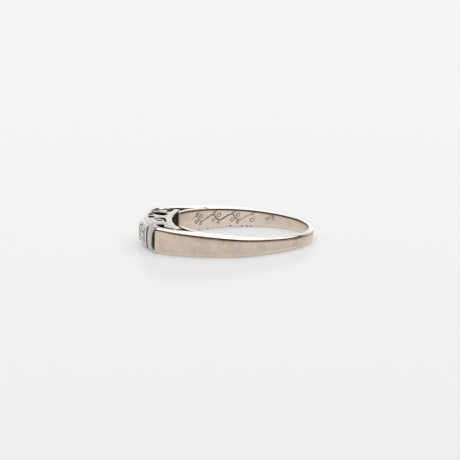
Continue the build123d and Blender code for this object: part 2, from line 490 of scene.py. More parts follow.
@dataclass(frozen=True)
class Tabletop:
    """Smooth white light table with a faint sheen, lit softly from below."""

    name: str = "white_board"
    colour: Colour = (0.56, 0.56, 0.56)
    glow: float = 0.33
    sheen: float = 0.085

    def build(self) -> bpy.types.Material:
        """Makes the material."""
        tree = FinishTree.named(self.name)
        here = tree.place()
        cloud = tree.speckle(here, 0.02, 2.0)
        colour = tree.blend(cloud * 0.3, rgba(self.colour), rgba(tuple(part * 0.985 for part in self.colour)))
        matt = tree.node("ShaderNodeBsdfDiffuse", feeds={"Color": colour})
        gloss = tree.node("ShaderNodeBsdfGlossy", feeds={"Roughness": 0.12 + cloud * 0.04})
        share = self.sheen * (0.9 + cloud * 0.2)
        glow = tree.node("ShaderNodeEmission", feeds={"Strength": self.glow})
        lit = tree.node("ShaderNodeAddShader", feeds={0: matt.outputs[0], 1: glow.outputs[0]})
        mixed = tree.node("ShaderNodeMixShader", feeds={0: share, 1: lit.outputs[0], 2: gloss.outputs[0]})
        tree.node("ShaderNodeOutputMaterial", feeds={"Surface": mixed.outputs[0]})
        return tree.owner


class Finish(Enum):
    """The ring's finishes."""

    GOLD = WornMetal(
        "white_gold_worn", (0.73, 0.615, 0.51), (0.58, 0.47, 0.375), tinge=(0.55, 0.38, 0.28), rim=RIM_HIGHLIGHT
    )
    # The inside of the band is a lighter copy of the gold, the extra lightness painted light; its rims carry
    # the painted highlight and shade line.
    INSIDE = WornMetal(
        "white_gold_inside", (0.89, 0.775, 0.665), (0.77, 0.665, 0.56), roughness=0.3,
        rim=RIM_HIGHLIGHT, shade_line_depth=0.20, shade_line_width=0.20, shade_line_share=0.9,
    )
    # The leaves' end faces: a pale matt colour, painted light.
    SAWN = WornMetal("white_gold_sawn", (0.95, 0.88, 0.80), (0.90, 0.82, 0.74), roughness=0.6, metallic=0.0)
    PLATINUM = WornMetal("platinum_worn", (0.62, 0.585, 0.55), (0.53, 0.50, 0.465), roughness=0.26)
    PIERCED = WornMetal("platinum_pierced", (0.50, 0.465, 0.43), (0.41, 0.38, 0.345), roughness=0.26)
    # The grains are a lighter copy of the platinum, a painted highlight that brightens their glint beside
    # their low roughness.
    GRAIN = WornMetal("platinum_bright", (0.86, 0.86, 0.87), (0.80, 0.80, 0.81), roughness=0.06, haze=0.02)
    # The recess and hollow finishes are painted shade: dark colours for the insides of openings and hollows.
    RECESS = Recess("recess_grime", (0.020, 0.014, 0.011), (0.055, 0.042, 0.034))
    HOLLOW = Recess("hollow_tarnish", (0.15, 0.11, 0.08), (0.26, 0.20, 0.155), metallic=0.6)
    DIAMOND = Stone()
    ENGRAVED = EngravedLine()
    BOARD = Tabletop()

    def material(self) -> bpy.types.Material:
        """The finish's material, made the first time it is asked for."""
        found = bpy.data.materials.get(self.value.name)
        return found or self.value.build()


class Slot(Enum):
    """The record's material slots."""

    GOLD = "white_gold"
    PLATINUM = "platinum"
    DIAMOND = "diamond"


# ------------------------------------------------------------------ mesh tools


def finish_piece(
    name: str,
    bm: bmesh.types.BMesh,
    finishes: Sequence[Finish],
    nodes: Sequence[str] = (),
) -> bpy.types.Object:
    """Turns a bmesh in millimetres into a riding piece in metres.

    Args:
        name: The piece's name.
        bm: Its mesh, which is freed.
        finishes: The materials, in the order of the faces' material numbers.
        nodes: The model nodes that it replaces.

    Returns:
        The new object.
    """
    bmesh.ops.scale(bm, vec=(MM, MM, MM), verts=bm.verts)
    for face in bm.faces:
        face.smooth = True
    for edge in bm.edges:
        edge.smooth = len(edge.link_faces) != 2 or edge.calc_face_angle() < CRISP_ANGLE
    mesh = bpy.data.meshes.new(name)
    bm.to_mesh(mesh)
    bm.free()
    for finish in finishes:
        mesh.materials.append(finish.material())
    piece = bpy.data.objects.new(name, mesh)
    bpy.context.scene.collection.objects.link(piece)
    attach(piece, BODY)
    if nodes:
        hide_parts(*nodes)
    LOG.info("%s: %d faces", name, len(mesh.polygons))
    return piece


def close_and_orient(bm: bmesh.types.BMesh) -> None:
    """Merges doubles and points all faces outwards."""
    bmesh.ops.remove_doubles(bm, verts=bm.verts, dist=WELD)
    bmesh.ops.recalc_face_normals(bm, faces=bm.faces)
    if bm.calc_volume(signed=True) < 0:
        bmesh.ops.reverse_faces(bm, faces=bm.faces)


def round_edges(
    bm: bmesh.types.BMesh, edges: Sequence[bmesh.types.BMEdge], offset: float, segments: int
) -> None:
    """Rounds some edges of a mesh.

    Args:
        bm: The mesh.
        edges: The edges to round.
        offset: How far the rounding reaches, in millimetres.
        segments: The number of its facets.
    """
    bmesh.ops.bevel(
        bm, geom=edges, offset=offset, affect="EDGES", segments=segments, profile=0.5, material=-1
    )


def slice_along(bm: bmesh.types.BMesh, places: Sequence[float], normal: Vector) -> None:
    """Cuts new edges across a mesh at several places along a direction.

    Args:
        bm: The mesh to cut.
        places: Distances from the origin along the direction.
        normal: The direction.
    """
    for place in places:
        parts = [*bm.verts, *bm.edges, *bm.faces]
        bmesh.ops.bisect_plane(bm, geom=parts, dist=1e-5, plane_co=normal * place, plane_no=normal)


def steps(start: float, end: float, count: int) -> list[float]:
    """Evenly spaced values, both ends included."""
    return [start + (end - start) * index / count for index in range(count + 1)]


def polar(radius: float, angle: float) -> Vector:
    """The plan point at a radius and at degrees from the head's centre line, towards +Y."""
    turn = math.radians(angle)
    return Vector((-radius * math.cos(turn), radius * math.sin(turn), 0.0))


class Easing:
    """A smooth curve through a few knots."""

    def __init__(self, knots: Sequence[Point]) -> None:
        """Keeps the knots and works out a slope at each.

        Args:
            knots: Pairs of place and value, in order of place.
        """
        self.knots = list(knots)
        last = len(knots) - 1
        self.slopes = [self._slope(max(index - 1, 0), min(index + 1, last)) for index in range(last + 1)]

    def _slope(self, first: int, second: int) -> float:
        """The slope of the chord between two knots."""
        (x0, y0), (x1, y1) = self.knots[first], self.knots[second]
        return (y1 - y0) / (x1 - x0)

    def __call__(self, place: float) -> float:
        """The curve's value at a place."""
        knots = self.knots
        place = min(max(place, knots[0][0]), knots[-1][0])
        index = max(i for i in range(len(knots) - 1) if knots[i][0] <= place)
        (x0, y0), (x1, y1) = knots[index], knots[index + 1]
        span = x1 - x0
        t = (place - x0) / span
        first = (1 + 2 * t) * (1 - t) ** 2 * y0 + t * (1 - t) ** 2 * span * self.slopes[index]
        return first + t * t * (3 - 2 * t) * y1 + t * t * (t - 1) * span * self.slopes[index + 1]


def refit(value: float, drawn: Point, wanted: Point, corners: Point, growth: float = 1.0) -> float:
    """Moves a section's point to new walls while its rounded corners keep their shape.

    Args:
        value: The point's place across the section as drawn.
        drawn: The two walls as drawn.
        wanted: The two walls as they should be.
        corners: The size of the rounding at each wall.
        growth: The scale of the roundings.

    Returns:
        The point's new place.
    """
    from_low, from_high = value - drawn[0], drawn[1] - value
    if from_low <= corners[0]:
        return wanted[0] + from_low * growth
    if from_high <= corners[1]:
        return wanted[1] - from_high * growth
    share = (from_low - corners[0]) / (drawn[1] - drawn[0] - sum(corners))
    low = wanted[0] + corners[0] * growth
    return low + share * (wanted[1] - corners[1] * growth - low)


# -------------------------------------------------------------- the swept bars


@dataclass
class SectionSweep:
    """A bar with a rounded rectangular section, bent round a point of the plan."""

    inner_r: float
    outer_r: float
    half_height: float
    start: float
    end: float
    turns: int
    centre: Point = (0.0, 0.0)
    inner_round: float = 0.1
    outer_round: float = 0.1
    segments: int = 8
    cuts: int = 4
    longest: float = 0.12

    def build(self) -> bmesh.types.BMesh:
        """Draws the section and spins it from start to end, in degrees from +X."""
        bm = bmesh.new()
        bmesh.ops.create_grid(bm, x_segments=1, y_segments=1, size=0.5)
        wide, high = self.outer_r - self.inner_r, 2 * self.half_height
        bmesh.ops.scale(bm, vec=(wide, high, 1), verts=bm.verts)
        bmesh.ops.rotate(bm, verts=bm.verts, matrix=Matrix.Rotation(math.pi / 2, 3, "X"))
        bmesh.ops.translate(bm, vec=((self.outer_r + self.inner_r) / 2, 0, 0), verts=bm.verts)
        middle = (self.outer_r + self.inner_r) / 2
        for inner, offset in ((True, self.inner_round), (False, self.outer_round)):
            corners = [v for v in bm.verts if self._is_corner(v) and (v.co.x < middle) == inner]
            bmesh.ops.bevel(
                bm,
                geom=corners,
                offset=offset,
                affect="VERTICES",
                segments=self.segments,
                profile=0.5,
                material=-1,
            )
        bmesh.ops.delete(bm, geom=list(bm.faces), context="FACES_ONLY")
        straight = [edge for edge in bm.edges if edge.calc_length() > self.longest]
        bmesh.ops.subdivide_edges(bm, edges=straight, cuts=self.cuts)
        bmesh.ops.rotate(bm, verts=bm.verts, matrix=Matrix.Rotation(math.radians(self.start), 3, "Z"))
        turn = math.radians(self.end - self.start)
        geometry = [*bm.verts, *bm.edges]
        bmesh.ops.spin(bm, geom=geometry, cent=(0, 0, 0), axis=(0, 0, 1), angle=turn, steps=self.turns)
        bmesh.ops.holes_fill(bm, edges=[e for e in bm.edges if e.is_boundary], sides=0)
        bmesh.ops.translate(bm, vec=(*self.centre, 0), verts=bm.verts)
        close_and_orient(bm)
        return bm

    def _is_corner(self, vert: bmesh.types.BMVert) -> bool:
        """Whether a point of the unbent section is one of its four corners."""
        at_side = min(abs(vert.co.x - self.inner_r), abs(vert.co.x - self.outer_r)) < 1e-6
        return at_side and abs(abs(vert.co.z) - self.half_height) < 1e-6


# ---------------------------------------------------------------- sub-assemblies


@dataclass
class Shank:
    """The gold band with its two forked shoulders and their bearing leaves."""

    base_wall: float = 0.65
    outer_round: float = 0.40
    inner_round: float = 0.20
    shoulder_end: float = 150.0
    leaf_r: float = 9.15
    leaf_tip_r: float = 8.75
    leaf_root: float = 117.0
    leaf_thins: float = 136.0
    leaf_end: float = 151.0
    leaf_lap: float = 0.8
    leaf_half: float = 1.4
    leaf_inset: float = 0.04
    leaf_gap: float = 0.004
    leaf_lip: float = 0.06
    lit_above: float = 1.0
    crown: float = 0.03
    wobble: float = 0.010
    outer: Easing = field(init=False)
    inner: Easing = field(init=False)
    growth: Easing = field(init=False)
    draft: SectionSweep = field(init=False)

    def __post_init__(self) -> None:
        """Works out the contours by degrees from the base."""
        wall = FORM.finger_r + self.base_wall
        self.outer = Easing(
            ((0, wall), (50, wall), (60, wall), (70, 9.286), (80, 9.611), (90, 9.954), (100, 10.113),
             (110, 10.275), (120, 10.637), (130, 11.136), (140, 11.708), (150, 12.3))
        )
        self.inner = Easing(
            ((self.leaf_root, self.leaf_r), (124, self.leaf_r), (132, 9.78), (140, 10.75), (150, 11.45))
        )
        self.growth = Easing(((0, 1.0), (118, 1.0), (140, 1.12), (self.shoulder_end, 1.5)))
        self.draft = SectionSweep(
            inner_r=9.0,
            outer_r=10.0,
            half_height=1.5,
            start=-self.shoulder_end,
            end=self.shoulder_end,
            turns=300,
            inner_round=self.inner_round,
            outer_round=self.outer_round,
            cuts=6,
        )

    def build(self) -> None:
        """Makes the band and both leaves."""
        self._band()
        for name, flip in (("bearing_leaf_left", 1), ("bearing_leaf_right", -1)):
            self._leaf(name, flip)

    def _band(self) -> bpy.types.Object:
        """Makes the band from shoulder to shoulder."""
        draft = self.draft
        bm = draft.build()
        for vert in bm.verts:
            radius = vert.co.xy.length
            angle = abs(math.degrees(math.atan2(vert.co.y, vert.co.x)))
            growth = self.growth(angle)
            corners = (self.inner_round, self.outer_round)
            placed = refit(radius, (draft.inner_r, draft.outer_r), self._walls(angle), corners, growth)
            share = (radius - draft.inner_r) / (draft.outer_r - draft.inner_r)
            vert.co = self._settle(vert.co, placed, share, growth)
        bm.normal_update()
        for face in bm.faces:
            centre = face.calc_center_median()
            inward = face.normal.xy.dot(centre.xy.normalized()) < -0.1
            behind_leaf = centre.xy.length > self.leaf_r + 0.1 and abs(centre.z) < self.lit_above
            # Inward faces deep behind the leaves take the hollow finish, painted shade.
            face.material_index = (2 if behind_leaf else 1) if inward else 0
        finishes = (Finish.GOLD, Finish.INSIDE, Finish.HOLLOW)
        return finish_piece("ring_shank", bm, finishes, ("shank",))

    def _walls(self, angle: float) -> Point:
        """The inner and outer radius at an angle from the base."""
        inner = FORM.finger_r if angle < self.leaf_root else self.inner(angle)
        return inner, self.outer(angle)

    def _settle(self, at: Vector, radius: float, share: float, growth: float) -> Vector:
        """Moves a draft point to its radius and width, with the softness of wear.

        Args:
            at: The point in the draft.
            radius: The radius it should have.
            share: Its place in the wall, from 0 inside to 1 outside.
            growth: The scale of the corners.

        Returns:
            The point's place on the ring.
        """
        plan = at.xy.normalized() * radius
        half = FORM.side(plan.x)
        drawn = self.draft.half_height
        z = refit(at.z, (-drawn, drawn), (-half, half), (self.outer_round, self.outer_round), growth)
        bulge = self.wobble * (noise.noise(Vector((plan.x, plan.y, z)) * 0.45) - 1)
        bulge -= self.crown * min(abs(z) / half, 1.0) ** 2
        plan *= 1 + share * bulge / radius
        return Vector((plan.x, plan.y, z))

    def _leaf(self, name: str, flip: int) -> bpy.types.Object:
        """Makes one bearing leaf.

        Args:
            name: The leaf's node, whose name the piece extends.
            flip: 1 for the +Y leaf, -1 for the other.

        Returns:
            The new piece.
        """
        walls = (FORM.finger_r + self.leaf_gap, self.leaf_r)
        bm = SectionSweep(
            inner_r=walls[0],
            outer_r=walls[1],
            half_height=self.leaf_half,
            start=self.leaf_root - self.leaf_lap,
            end=self.leaf_end,
            turns=40,
            inner_round=self.inner_round,
            outer_round=0.05,
        ).build()
        kept = ((self.leaf_root, self.leaf_r), (self.leaf_thins, self.leaf_r))
        thin = Easing((*kept, (self.leaf_end, self.leaf_tip_r)))
        drawn, corners = (-self.leaf_half, self.leaf_half), (self.inner_round, self.inner_round)
        for vert in bm.verts:
            radius = vert.co.xy.length
            outer = thin(math.degrees(math.atan2(vert.co.y, vert.co.x)))
            wanted = refit(radius, walls, (walls[0], outer), (0.01, 0.01))
            vert.co.xy *= wanted / radius
            half = FORM.side(vert.co.x) - self.leaf_inset
            vert.co.z = refit(vert.co.z, drawn, (-half, half), corners)
        rim = [edge for edge in bm.edges if self._at_free_end(edge)]
        round_edges(bm, rim, self.leaf_lip, 4)
        if flip < 0:
            bmesh.ops.scale(bm, vec=(1, -1, 1), verts=bm.verts)
            close_and_orient(bm)
        bm.normal_update()
        for face in bm.faces:
            across = abs(face.normal.xy.dot(face.calc_center_median().xy.normalized()))
            # The leaf's end faces take a pale matt colour, painted light where the end sits in shade.
            face.material_index = 1 if across < 0.5 and abs(face.normal.z) < 0.5 else 0
        return finish_piece(f"{name}_worn", bm, (Finish.INSIDE, Finish.SAWN), (name,))

    def _at_free_end(self, edge: bmesh.types.BMEdge) -> bool:
        """Whether an edge bounds the flat end of a leaf."""
        angles = [math.degrees(math.atan2(v.co.y, v.co.x)) for v in edge.verts]
        return min(angles) > self.leaf_end - 0.01


@dataclass(frozen=True)
class Stroke:
    """One engraved stroke: a path in arc length and height, cut widest at its middle."""

    path: Path
    width: float
    fineness: int = 28

    def point(self, share: float) -> Vector:
        """The middle of the cut at a share of its length."""
        return Vector(self.path(share))

    def side(self, share: float) -> Vector:
        """The unit vector across the cut at a share of its length."""
        ahead = self.point(min(share + 0.01, 1.0)) - self.point(max(share - 0.01, 0.0))
        return Vector((-ahead.y, ahead.x)).normalized()

    def half(self, share: float) -> float:
        """Half of the cut's width at a share of its length."""
        return self.width / 2 * (0.25 + 0.75 * math.sin(math.pi * share))


def curl(centre: Point, radius: float, start: float, turns: float) -> Path:
    """A slanted spiral that closes on its centre.

    Args:
        centre: Where it ends.
        radius: Its size at its start.
        start: The degrees at which it starts.
        turns: Its turns, with a sign for their sense.

    Returns:
        The path by share.
    """
    closing, narrowing, lean = 0.86, 0.8, 0.35

    def path(share: float) -> Point:
        """The point at a share of the way."""
        turn = math.radians(start + 360 * turns * share)
        reach = radius * (1 - closing * share)
        high = reach * math.sin(turn)
        return centre[0] + reach * math.cos(turn) * narrowing + lean * high, centre[1] + high

    return path


def bowed(first: Point, second: Point, bow: float) -> Path:
    """A stroke bowed to one side between two points.

    Args:
        first: Its start.
        second: Its end.
        bow: How far it leaves the straight line, with a sign for the side.

    Returns:
        The path by share.
    """

    def path(share: float) -> Point:
        """The point at a share of the way."""
        start, end = Vector(first), Vector(second)
        along = end - start
        off = Vector((-along.y, along.x)).normalized() * bow * math.sin(math.pi * share)
        spot = start + along * share + off
        return spot.x, spot.y

    return path


@dataclass
class Engraving:
    """Scrolls cut into the inside of the band, with a few plain punch marks below them."""

    radius: float = 8.488
    start: float = 136.0
    length: float = 8.7
    waves: float = 3.5
    swing: float = 0.36
    lean: float = 0.45
    fine: float = 0.10
    bold: float = 0.15
    sprig: Point = (10.6, 0.15)
    mark_long: float = 0.26
    mark_wide: float = 0.13
    marks: Sequence[Point] = ((5.85, -1.02), (7.35, -1.04), (8.0, -1.04), (8.5, -1.04))

    def build(self) -> None:
        """Cuts the vine and the sprig and strikes the marks."""
        bm = bmesh.new()
        bm.loops.layers.uv.verify()
        for stroke in (*self._vine(), *self._sprig()):
            self._cut(bm, stroke)
        for spot in self.marks:
            self._strike(bm, Vector(spot))
        self._wrap(bm)
        finish_piece("inner_engraving", bm, (Finish.ENGRAVED,))

    def _stem(self, share: float) -> Point:
        """The vine's stem at a share of its length."""
        turn = 2 * math.pi * self.waves * share
        high = self.swing * math.sin(turn)
        return 0.2 + self.length * share + self.lean * high, high + 0.12

    def _vine(self) -> list[Stroke]:
        """The stem, with a curl and a leaf at each of its crests."""
        strokes = [Stroke(self._stem, self.bold, fineness=220)]
        crests = round(2 * self.waves)
        for index in range(crests):
            side = 1 if index % 2 == 0 else -1
            x, y = self._stem((index + 0.5) / crests)
            size = 0.40 + 0.06 * math.sin(2.3 * index)
            inner = (x + 0.12 * side, y - 0.62 * side)
            strokes.append(Stroke(curl(inner, size, 90 * side, -1.35 * side), self.fine))
            strokes += self._leaf((x, y), (x + 0.42 * side + 0.15, y + 0.52 * side))
        return strokes

    def _sprig(self) -> list[Stroke]:
        """Two curls and a leaf that stand apart from the vine."""
        x, y = self.sprig
        strokes = [Stroke(curl((x, y), 0.36, 80, -1.3), self.fine)]
        strokes.append(Stroke(curl((x + 0.75, y + 0.1), 0.34, 260, 1.25), self.fine))
        return strokes + self._leaf((x + 0.3, y + 0.3), (x + 0.95, y + 0.72))

    def _leaf(self, root: Point, tip: Point) -> list[Stroke]:
        """A pointed leaf of two bowed strokes."""
        return [Stroke(bowed(root, tip, bow), self.fine, fineness=12) for bow in (0.12, -0.12)]

    def _cut(self, bm: bmesh.types.BMesh, stroke: Stroke) -> None:
        """Lays one stroke as a ribbon, its first texture coordinate running across.

        Args:
            bm: The mesh to add to, in arc length and height.
            stroke: The stroke.
        """
        made = bmesh.ops.create_grid(bm, x_segments=4, y_segments=stroke.fineness, size=0.5, calc_uvs=True)
        for vert in made["verts"]:
            share = vert.co.y + 0.5
            off = stroke.side(share) * stroke.half(share) * 2 * vert.co.x
            spot = stroke.point(share) + off
            vert.co = Vector((spot.x, spot.y, 0))

    def _strike(self, bm: bmesh.types.BMesh, spot: Vector) -> None:
        """Adds a small lozenge-shaped punch mark.

        Args:
            bm: The mesh to add to.
            spot: Its place in arc length and height.
        """
        mark = bmesh.ops.create_grid(bm, x_segments=4, y_segments=4, size=0.5, calc_uvs=True)["verts"]
        turn = Matrix.Rotation(math.radians(45), 2)
        for vert in mark:
            corner = turn @ vert.co.xy
            vert.co = Vector((spot.x + corner.x * self.mark_long, spot.y + corner.y * self.mark_wide, 0))

    def _wrap(self, bm: bmesh.types.BMesh) -> None:
        """Lays the flat drawing on the inside of the band."""
        for vert in bm.verts:
            turn = math.radians(self.start) - vert.co.x / self.radius
            vert.co = Vector((self.radius * math.cos(turn), self.radius * math.sin(turn), vert.co.y))


@dataclass
class FingerRails:
    """The two rails that frame the open back of the head."""

    arc_r: float = 16.0
    width: float = 0.77
    top: float = 1.46
    depth: float = 0.4
    half_span: float = 21.6
    soft: float = 0.1

    def build(self) -> None:
        """Makes the upper and the lower rail."""
        for name, flip in (("finger_rail_upper", 1), ("finger_rail_lower", -1)):
            self._rail(name, flip)

    def _rail(self, name: str, flip: int) -> bpy.types.Object:
        """Makes one rail.

        Args:
            name: The node that it replaces.
            flip: 1 for the upper rail, -1 for the lower.

        Returns:
            The new piece.
        """
        bm = SectionSweep(
            inner_r=self.arc_r,
            outer_r=self.arc_r + self.width,
            half_height=self.depth / 2,
            start=180 - self.half_span,
            end=180 + self.half_span,
            turns=90,
            centre=(self.arc_r - FORM.finger_r, 0.0),
            inner_round=self.soft,
            outer_round=self.soft,
        ).build()
        bmesh.ops.translate(bm, vec=(0, 0, flip * (self.top - self.depth / 2)), verts=bm.verts)
        return finish_piece(f"{name}_worn", bm, (Finish.PLATINUM,), (name,))


@dataclass
class Loop:
    """A closed outline through a few points, rounded or with straight sides."""

    points: Sequence[Point]
    rounded: bool = True
    fineness: int = 10

    def grown(self, amount: float) -> "Loop":
        """The outline pushed out from its middle by an amount."""
        middle = sum((Vector(point) for point in self.points), Vector((0, 0))) / len(self.points)
        arms = [Vector(point) - middle for point in self.points]
        moved = [middle + arm * (1 + amount / arm.length) for arm in arms]
        return Loop([(spot.x, spot.y) for spot in moved], self.rounded, self.fineness)

    def sample(self) -> list[Vector]:
        """The outline's points, in order."""
        shares = [step / self.fineness for step in range(self.fineness)]
        return [self._between(index, share) for index in range(len(self.points)) for share in shares]

    def _between(self, index: int, t: float) -> Vector:
        """A point between one outline point and the next.

        Args:
            index: The first of the two points.
            t: The share of the way to the next.

        Returns:
            The point in the plan.
        """
        count = len(self.points)
        p = [Vector((*self.points[(index + k) % count], 0.0)) for k in (-1, 0, 1, 2)]
        if not self.rounded:
            return p[1].lerp(p[2], t)
        first = 2 * p[1] + (p[2] - p[0]) * t
        second = (2 * p[0] - 5 * p[1] + 4 * p[2] - p[3]) * t**2
        third = (3 * p[1] - p[0] - 3 * p[2] + p[3]) * t**3
        return (first + second + third) / 2


def lens(centre: Point, half_length: float, half_width: float, angle: float) -> Loop:
    """A pointed lens.

    Args:
        centre: Its middle.
        half_length: Half of its length.
        half_width: Half of its width.
        angle: Degrees from X to its length.

    Returns:
        The outline.
    """
    turn = Matrix.Rotation(math.radians(angle), 2)
    shape = ((-1, 0), (-0.5, 0.8), (0, 1), (0.5, 0.8), (1, 0), (0.5, -0.8), (0, -1), (-0.5, -0.8))
    spots = [turn @ Vector((x * half_length, y * half_width)) for x, y in shape]
    return Loop([(centre[0] + spot.x, centre[1] + spot.y) for spot in spots], rounded=False, fineness=3)


@dataclass
class Galleries:
    """The two pierced scroll webs that join the rails to the head plate."""

    plate_r: float = 11.54
    rail_arc_r: float = 16.72
    rail_lap: float = 0.72
    rail_span: float = FingerRails.half_span
    corner: Sequence[Point] = ((-8.75, 6.95), (-8.1, 7.05))
    bottom: float = 1.02
    level: float = 1.46
    level_x: float = -9.0
    rise: float = 0.09
    soft: float = 0.035
    plate_end: float = 20.3
    bar_reach: float = 0.4
    growth: float = 0.14
    openings: Sequence[Loop] = (
        Loop(((-10.8, 4.95), (-10.35, 5.7), (-9.95, 5.2)), rounded=False),
        Loop(((-9.95, 5.75), (-9.5, 6.2), (-9.1, 6.3), (-8.8, 5.9), (-9.2, 5.8), (-9.5, 5.5))),
        Loop(((-9.05, 4.55), (-8.62, 5.0), (-8.3, 5.9), (-8.3, 6.6), (-8.6, 6.5), (-8.6, 5.95), (-9.0, 5.3))),
        lens((-10.45, 4.35), 0.65, 0.16, 8),
        Loop(((-10.95, 2.95), (-10.45, 3.5), (-9.95, 3.7), (-9.35, 3.6), (-9.15, 3.2), (-9.3, 2.5),
              (-9.6, 2.0), (-10.2, 2.1), (-10.7, 2.4))),
        Loop(((-11.15, 2.1), (-10.95, 2.05), (-11.0, 1.7), (-11.25, 1.5), (-11.3, 1.75))),
        Loop(((-11.35, 0.6), (-11.05, 0.8), (-10.75, 0.75), (-10.8, 0.3), (-11.1, -0.2), (-11.3, 0.1))),
        Loop(((-10.6, -0.7), (-10.0, 0.05), (-9.45, 0.3), (-9.38, -0.7), (-9.3, -1.9), (-9.5, -1.55),
              (-9.62, -0.8), (-10.05, -0.5), (-10.35, -0.8))),
        lens((-10.05, -1.55), 0.42, 0.16, 0),
        Loop(((-10.4, -4.35), (-10.0, -3.85), (-9.55, -3.75), (-9.45, -4.4), (-9.4, -4.95), (-9.05, -5.3),
              (-8.6, -5.45), (-8.35, -5.8), (-8.6, -6.3), (-9.2, -6.15), (-9.85, -5.45))),
    )

    def build(self) -> None:
        """Makes the upper and the lower web."""
        for name, flip in (("gallery_upper", 1), ("gallery_lower", -1)):
            self._web(name, flip)

    def _outline(self) -> Loop:
        """The web's outer contour, a little inside its neighbours."""
        head = steps(-FORM.head_angle, FORM.head_angle, 40)
        points = [polar(self.plate_r + self._reach(angle), angle).xy for angle in head]
        points += [Vector(spot) for spot in self.corner]
        centre = Vector((self.rail_arc_r - FORM.finger_r - self.rail_lap, 0))
        rail = steps(self.rail_span, -self.rail_span, 20)
        points += [centre + polar(self.rail_arc_r, angle).xy for angle in rail]
        points += [Vector((x, -y)) for x, y in reversed(self.corner)]
        return Loop([tuple(spot) for spot in points], rounded=False, fineness=2)

    def _reach(self, angle: float) -> float:
        """How far the web runs out under the end bars at an angle."""
        share = min(max((abs(angle) - self.plate_end) / 2, 0.0), 1.0)
        return self.bar_reach * share

    def _web(self, name: str, flip: int) -> bpy.types.Object:
        """Makes one web.

        Args:
            name: The node that it replaces.
            flip: 1 for the upper web, -1 for the lower.

        Returns:
            The new piece.
        """
        bm = bmesh.new()
        for loop in (self._outline(), *(opening.grown(self.growth) for opening in self.openings)):
            spots = loop.sample()
            ring = bmesh.ops.create_circle(bm, segments=len(spots), radius=1.0)["verts"]
            for vert, spot in zip(ring, spots):
                vert.co = spot
        bmesh.ops.triangle_fill(bm, edges=bm.edges, use_beauty=True, use_dissolve=False, normal=(0, 0, 1))
        walls = bmesh.ops.extrude_face_region(bm, geom=list(bm.faces), use_keep_orig=True)["geom"]
        raised = [part for part in walls if isinstance(part, bmesh.types.BMVert)]
        bmesh.ops.translate(bm, vec=(0, 0, 1), verts=raised)
        close_and_orient(bm)
        rims = [e for e in bm.edges if self._is_rim(e)]
        for vert in bm.verts:
            top = self.level + self.rise * (self.level_x - vert.co.x)
            vert.co.z = top if vert.co.z > 0.5 else self.bottom
        round_edges(bm, rims, self.soft, 3)
        bm.normal_update()
        for face in bm.faces:
            upright = abs(face.normal.z) < 0.3
            # Walls and under faces take the recess finish, painted shade in the openings.
            face.material_index = 1 if upright or face.normal.z < -0.3 else 0
        if flip < 0:
            bmesh.ops.scale(bm, vec=(1, 1, -1), verts=bm.verts)
            close_and_orient(bm)
        return finish_piece(f"{name}_pierced", bm, (Finish.PIERCED, Finish.RECESS), (name,))

    @staticmethod
    def _is_rim(edge: bmesh.types.BMEdge) -> bool:
        """Whether an edge bounds the web's outer face."""
        high = all(v.co.z > 0.5 for v in edge.verts)
        upright = [face for face in edge.link_faces if abs(face.normal.z) < 0.5]
        return high and len(upright) == 1


@dataclass
class BentBlank:
    """A flat blank, marked out by arc length and width, that is bent round the finger."""

    inner_r: float = 11.3
    outer_r: float = 12.15
    dome: float = 0.2
    half_width: float = 1.72

    @property
    def wall(self) -> float:
        """The blank's thickness."""
        return self.outer_r - self.inner_r

    def arc(self, angle: float) -> float:
        """The arc length at the outer face for degrees from the head's centre line."""
        return math.radians(angle) * self.outer_r

    def sheet(self, start: float, end: float) -> bmesh.types.BMesh:
        """A flat sheet between two angles, in the plane of arc length and width."""
        bm = bmesh.new()
        bmesh.ops.create_grid(bm, x_segments=1, y_segments=1, size=0.5)
        long = self.arc(end) - self.arc(start)
        bmesh.ops.scale(bm, vec=(long, 2 * self.half_width, 1), verts=bm.verts)
        bmesh.ops.translate(bm, vec=((self.arc(start) + self.arc(end)) / 2, 0, self.wall), verts=bm.verts)
        return bm

    def thicken(self, bm: bmesh.types.BMesh) -> None:
        """Gives a sheet the blank's thickness, downwards."""
        made = bmesh.ops.extrude_face_region(bm, geom=list(bm.faces), use_keep_orig=True)["geom"]
        lower = [part for part in made if isinstance(part, bmesh.types.BMVert)]
        bmesh.ops.translate(bm, vec=(0, 0, -self.wall), verts=lower)
        close_and_orient(bm)

    def bend(self, bm: bmesh.types.BMesh) -> None:
        """Bends a marked-out blank round the finger, its long edges level with the ring's sides.

        Args:
            bm: The blank, with arc length in X, width in Y and thickness in Z.
        """
        for vert in bm.verts:
            along, across, height = vert.co
            share = min(abs(across) / self.half_width, 1.0)
            lift = self.dome * (1 - share**2) * min(height / self.wall, 1.0)
            plan = polar(self.inner_r + height + lift, math.degrees(along / self.outer_r))
            vert.co = Vector((plan.x, plan.y, across * FORM.side(plan.x) / self.half_width))


